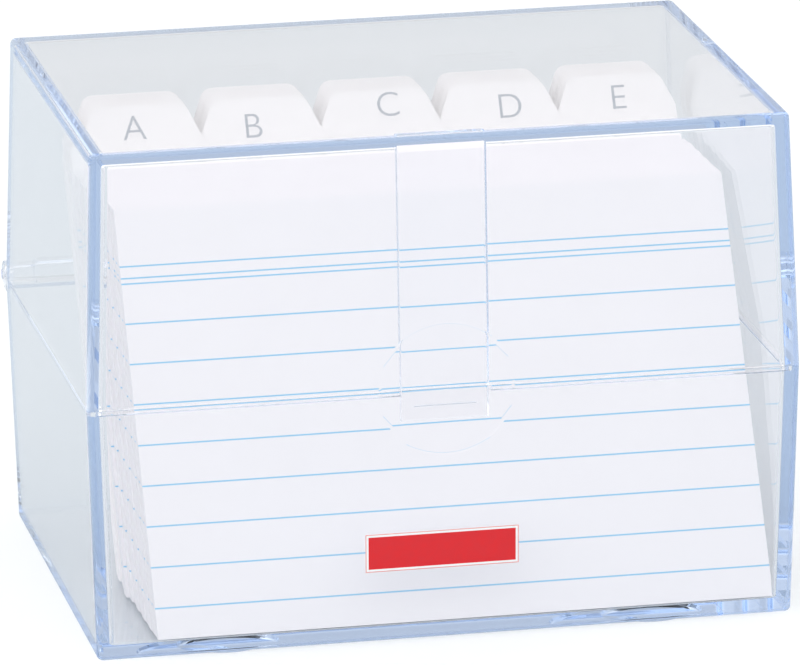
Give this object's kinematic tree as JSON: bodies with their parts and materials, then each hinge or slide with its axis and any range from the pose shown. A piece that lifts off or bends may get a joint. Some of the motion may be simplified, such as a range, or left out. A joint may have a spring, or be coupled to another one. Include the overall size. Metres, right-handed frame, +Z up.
{
  "type": "index card box",
  "caption": "Clear plastic box with a lid hinged along the back, holding a leaning stack of ruled index cards and lettered tab dividers.",
  "frame": {"origin": "under the middle of the box's outside, hinge included, on the surface that the feet stand on", "axes": "+X to the right seen from the front, +Y to the back where the hinge is, +Z up"},
  "size_m": [0.1212, 0.091, 0.087],
  "materials": {
    "tray_plastic": "clear, glossy",
    "lid_plastic": "clear, glossy",
    "label": "satin sticker",
    "card_paper": "matte, ruled",
    "divider_sheet": "matte"
  },
  "bodies": {
    "tray": {"base_tray": "tray_plastic", "front_label": "label"},
    "lid": {"lid": "lid_plastic"},
    "card_pack_01_body": {"card_pack_01": "card_paper"},
    "card_pack_02_body": {"card_pack_02": "card_paper"},
    "card_pack_03_body": {"card_pack_03": "card_paper"},
    "card_pack_04_body": {"card_pack_04": "card_paper"},
    "card_pack_05_body": {"card_pack_05": "card_paper"},
    "card_pack_06_body": {"card_pack_06": "card_paper"},
    "card_pack_07_body": {"card_pack_07": "card_paper"},
    "card_pack_08_body": {"card_pack_08": "card_paper"},
    "card_pack_09_body": {"card_pack_09": "card_paper"},
    "card_pack_10_body": {"card_pack_10": "card_paper"},
    "divider_a_body": {"divider_a": "divider_sheet"},
    "divider_b_body": {"divider_b": "divider_sheet"},
    "divider_c_body": {"divider_c": "divider_sheet"},
    "divider_d_body": {"divider_d": "divider_sheet"},
    "divider_e_body": {"divider_e": "divider_sheet"},
    "divider_f_body": {"divider_f": "divider_sheet"},
    "divider_g_body": {"divider_g": "divider_sheet"},
    "divider_h_body": {"divider_h": "divider_sheet"},
    "divider_i_body": {"divider_i": "divider_sheet"},
    "divider_j_body": {"divider_j": "divider_sheet"},
    "divider_k_body": {"divider_k": "divider_sheet"},
    "divider_l_body": {"divider_l": "divider_sheet"},
    "divider_m_body": {"divider_m": "divider_sheet"},
    "divider_n_body": {"divider_n": "divider_sheet"},
    "divider_o_body": {"divider_o": "divider_sheet"},
    "divider_p_body": {"divider_p": "divider_sheet"},
    "divider_q_body": {"divider_q": "divider_sheet"},
    "divider_r_body": {"divider_r": "divider_sheet"},
    "divider_s_body": {"divider_s": "divider_sheet"},
    "divider_t_body": {"divider_t": "divider_sheet"},
    "divider_u_body": {"divider_u": "divider_sheet"},
    "divider_v_body": {"divider_v": "divider_sheet"},
    "divider_w_body": {"divider_w": "divider_sheet"},
    "divider_x_body": {"divider_x": "divider_sheet"},
    "divider_yz_body": {"divider_yz": "divider_sheet"}
  },
  "joints": [
    {"name": "lid_hinge", "type": "hinge", "parent": "tray", "child": "lid", "pos_m": [0, 0.0429, 0.0439], "axis": [-1, 0, 0], "range_deg": [0, 180]},
    {"name": "pack_01_tilt", "type": "hinge", "parent": "tray", "child": "card_pack_01_body", "pos_m": [0, -0.04172, 0.003], "axis": [1, 0, 0], "range_deg": [0, 27]},
    {"name": "pack_02_tilt", "type": "hinge", "parent": "tray", "child": "card_pack_02_body", "pos_m": [0, -0.03902, 0.003], "axis": [1, 0, 0], "range_deg": [0, 25.65]},
    {"name": "pack_03_tilt", "type": "hinge", "parent": "tray", "child": "card_pack_03_body", "pos_m": [0, -0.03633, 0.003], "axis": [1, 0, 0], "range_deg": [0, 24.3]},
    {"name": "pack_04_tilt", "type": "hinge", "parent": "tray", "child": "card_pack_04_body", "pos_m": [0, -0.03363, 0.003], "axis": [1, 0, 0], "range_deg": [0, 22.95]},
    {"name": "pack_05_tilt", "type": "hinge", "parent": "tray", "child": "card_pack_05_body", "pos_m": [0, -0.03094, 0.003], "axis": [1, 0, 0], "range_deg": [0, 21.6]},
    {"name": "pack_06_tilt", "type": "hinge", "parent": "tray", "child": "card_pack_06_body", "pos_m": [0, -0.02824, 0.003], "axis": [1, 0, 0], "range_deg": [0, 20.25]},
    {"name": "pack_07_tilt", "type": "hinge", "parent": "tray", "child": "card_pack_07_body", "pos_m": [0, -0.02554, 0.003], "axis": [1, 0, 0], "range_deg": [0, 18.9]},
    {"name": "pack_08_tilt", "type": "hinge", "parent": "tray", "child": "card_pack_08_body", "pos_m": [0, -0.02285, 0.003], "axis": [1, 0, 0], "range_deg": [0, 17.55]},
    {"name": "pack_09_tilt", "type": "hinge", "parent": "tray", "child": "card_pack_09_body", "pos_m": [0, -0.02015, 0.003], "axis": [1, 0, 0], "range_deg": [0, 16.2]},
    {"name": "pack_10_tilt", "type": "hinge", "parent": "tray", "child": "card_pack_10_body", "pos_m": [0, -0.01745, 0.003], "axis": [1, 0, 0], "range_deg": [0, 14.86]},
    {"name": "divider_a_tilt", "type": "hinge", "parent": "tray", "child": "divider_a_body", "pos_m": [0, -0.01473, 0.00305], "axis": [1, 0, 0], "range_deg": [0, 13.23]},
    {"name": "divider_b_tilt", "type": "hinge", "parent": "tray", "child": "divider_b_body", "pos_m": [0, -0.0143, 0.00305], "axis": [1, 0, 0], "range_deg": [0, 12.73]},
    {"name": "divider_c_tilt", "type": "hinge", "parent": "tray", "child": "divider_c_body", "pos_m": [0, -0.01387, 0.00305], "axis": [1, 0, 0], "range_deg": [0, 12.22]},
    {"name": "divider_d_tilt", "type": "hinge", "parent": "tray", "child": "divider_d_body", "pos_m": [0, -0.01344, 0.00305], "axis": [1, 0, 0], "range_deg": [0, 11.71]},
    {"name": "divider_e_tilt", "type": "hinge", "parent": "tray", "child": "divider_e_body", "pos_m": [0, -0.01301, 0.00305], "axis": [1, 0, 0], "range_deg": [0, 11.21]},
    {"name": "divider_f_tilt", "type": "hinge", "parent": "tray", "child": "divider_f_body", "pos_m": [0, -0.01259, 0.00305], "axis": [1, 0, 0], "range_deg": [0, 10.7]},
    {"name": "divider_g_tilt", "type": "hinge", "parent": "tray", "child": "divider_g_body", "pos_m": [0, -0.01216, 0.00305], "axis": [1, 0, 0], "range_deg": [0, 10.2]},
    {"name": "divider_h_tilt", "type": "hinge", "parent": "tray", "child": "divider_h_body", "pos_m": [0, -0.01173, 0.00305], "axis": [1, 0, 0], "range_deg": [0, 9.69]},
    {"name": "divider_i_tilt", "type": "hinge", "parent": "tray", "child": "divider_i_body", "pos_m": [0, -0.0113, 0.00305], "axis": [1, 0, 0], "range_deg": [0, 9.19]},
    {"name": "divider_j_tilt", "type": "hinge", "parent": "tray", "child": "divider_j_body", "pos_m": [0, -0.01087, 0.00305], "axis": [1, 0, 0], "range_deg": [0, 8.68]},
    {"name": "divider_k_tilt", "type": "hinge", "parent": "tray", "child": "divider_k_body", "pos_m": [0, -0.01044, 0.00305], "axis": [1, 0, 0], "range_deg": [0, 8.17]},
    {"name": "divider_l_tilt", "type": "hinge", "parent": "tray", "child": "divider_l_body", "pos_m": [0, -0.01001, 0.00305], "axis": [1, 0, 0], "range_deg": [0, 7.66]},
    {"name": "divider_m_tilt", "type": "hinge", "parent": "tray", "child": "divider_m_body", "pos_m": [0, -0.00958, 0.00305], "axis": [1, 0, 0], "range_deg": [0, 7.16]},
    {"name": "divider_n_tilt", "type": "hinge", "parent": "tray", "child": "divider_n_body", "pos_m": [0, -0.00915, 0.00305], "axis": [1, 0, 0], "range_deg": [0, 6.65]},
    {"name": "divider_o_tilt", "type": "hinge", "parent": "tray", "child": "divider_o_body", "pos_m": [0, -0.00873, 0.00305], "axis": [1, 0, 0], "range_deg": [0, 6.15]},
    {"name": "divider_p_tilt", "type": "hinge", "parent": "tray", "child": "divider_p_body", "pos_m": [0, -0.0083, 0.00305], "axis": [1, 0, 0], "range_deg": [0, 5.64]},
    {"name": "divider_q_tilt", "type": "hinge", "parent": "tray", "child": "divider_q_body", "pos_m": [0, -0.00787, 0.00305], "axis": [1, 0, 0], "range_deg": [0, 5.13]},
    {"name": "divider_r_tilt", "type": "hinge", "parent": "tray", "child": "divider_r_body", "pos_m": [0, -0.00744, 0.00305], "axis": [1, 0, 0], "range_deg": [0, 4.63]},
    {"name": "divider_s_tilt", "type": "hinge", "parent": "tray", "child": "divider_s_body", "pos_m": [0, -0.00701, 0.00305], "axis": [1, 0, 0], "range_deg": [0, 4.12]},
    {"name": "divider_t_tilt", "type": "hinge", "parent": "tray", "child": "divider_t_body", "pos_m": [0, -0.00658, 0.00305], "axis": [1, 0, 0], "range_deg": [0, 3.61]},
    {"name": "divider_u_tilt", "type": "hinge", "parent": "tray", "child": "divider_u_body", "pos_m": [0, -0.00615, 0.00305], "axis": [1, 0, 0], "range_deg": [0, 3.11]},
    {"name": "divider_v_tilt", "type": "hinge", "parent": "tray", "child": "divider_v_body", "pos_m": [0, -0.00573, 0.00305], "axis": [1, 0, 0], "range_deg": [0, 2.6]},
    {"name": "divider_w_tilt", "type": "hinge", "parent": "tray", "child": "divider_w_body", "pos_m": [0, -0.0053, 0.00305], "axis": [1, 0, 0], "range_deg": [0, 2.1]},
    {"name": "divider_x_tilt", "type": "hinge", "parent": "tray", "child": "divider_x_body", "pos_m": [0, -0.00487, 0.00305], "axis": [1, 0, 0], "range_deg": [0, 1.59]},
    {"name": "divider_yz_tilt", "type": "hinge", "parent": "tray", "child": "divider_yz_body", "pos_m": [0, -0.00444, 0.00305], "axis": [1, 0, 0], "range_deg": [0, 1.08]}
  ],
  "couplings": [
    {"joint": "pack_02_tilt", "follows": "pack_01_tilt", "ratio": 0.95},
    {"joint": "pack_03_tilt", "follows": "pack_01_tilt", "ratio": 0.9},
    {"joint": "pack_04_tilt", "follows": "pack_01_tilt", "ratio": 0.85},
    {"joint": "pack_05_tilt", "follows": "pack_01_tilt", "ratio": 0.8},
    {"joint": "pack_06_tilt", "follows": "pack_01_tilt", "ratio": 0.75},
    {"joint": "pack_07_tilt", "follows": "pack_01_tilt", "ratio": 0.7},
    {"joint": "pack_08_tilt", "follows": "pack_01_tilt", "ratio": 0.65},
    {"joint": "pack_09_tilt", "follows": "pack_01_tilt", "ratio": 0.6},
    {"joint": "pack_10_tilt", "follows": "pack_01_tilt", "ratio": 0.55},
    {"joint": "divider_a_tilt", "follows": "pack_01_tilt", "ratio": 0.49},
    {"joint": "divider_b_tilt", "follows": "pack_01_tilt", "ratio": 0.4713},
    {"joint": "divider_c_tilt", "follows": "pack_01_tilt", "ratio": 0.4525},
    {"joint": "divider_d_tilt", "follows": "pack_01_tilt", "ratio": 0.4337},
    {"joint": "divider_e_tilt", "follows": "pack_01_tilt", "ratio": 0.415},
    {"joint": "divider_f_tilt", "follows": "pack_01_tilt", "ratio": 0.3962},
    {"joint": "divider_g_tilt", "follows": "pack_01_tilt", "ratio": 0.3775},
    {"joint": "divider_h_tilt", "follows": "pack_01_tilt", "ratio": 0.3588},
    {"joint": "divider_i_tilt", "follows": "pack_01_tilt", "ratio": 0.34},
    {"joint": "divider_j_tilt", "follows": "pack_01_tilt", "ratio": 0.3213},
    {"joint": "divider_k_tilt", "follows": "pack_01_tilt", "ratio": 0.3025},
    {"joint": "divider_l_tilt", "follows": "pack_01_tilt", "ratio": 0.2837},
    {"joint": "divider_m_tilt", "follows": "pack_01_tilt", "ratio": 0.265},
    {"joint": "divider_n_tilt", "follows": "pack_01_tilt", "ratio": 0.2462},
    {"joint": "divider_o_tilt", "follows": "pack_01_tilt", "ratio": 0.2275},
    {"joint": "divider_p_tilt", "follows": "pack_01_tilt", "ratio": 0.2087},
    {"joint": "divider_q_tilt", "follows": "pack_01_tilt", "ratio": 0.19},
    {"joint": "divider_r_tilt", "follows": "pack_01_tilt", "ratio": 0.1712},
    {"joint": "divider_s_tilt", "follows": "pack_01_tilt", "ratio": 0.1525},
    {"joint": "divider_t_tilt", "follows": "pack_01_tilt", "ratio": 0.1337},
    {"joint": "divider_u_tilt", "follows": "pack_01_tilt", "ratio": 0.115},
    {"joint": "divider_v_tilt", "follows": "pack_01_tilt", "ratio": 0.0962},
    {"joint": "divider_w_tilt", "follows": "pack_01_tilt", "ratio": 0.0775},
    {"joint": "divider_x_tilt", "follows": "pack_01_tilt", "ratio": 0.0588},
    {"joint": "divider_yz_tilt", "follows": "pack_01_tilt", "ratio": 0.04}
  ]
}
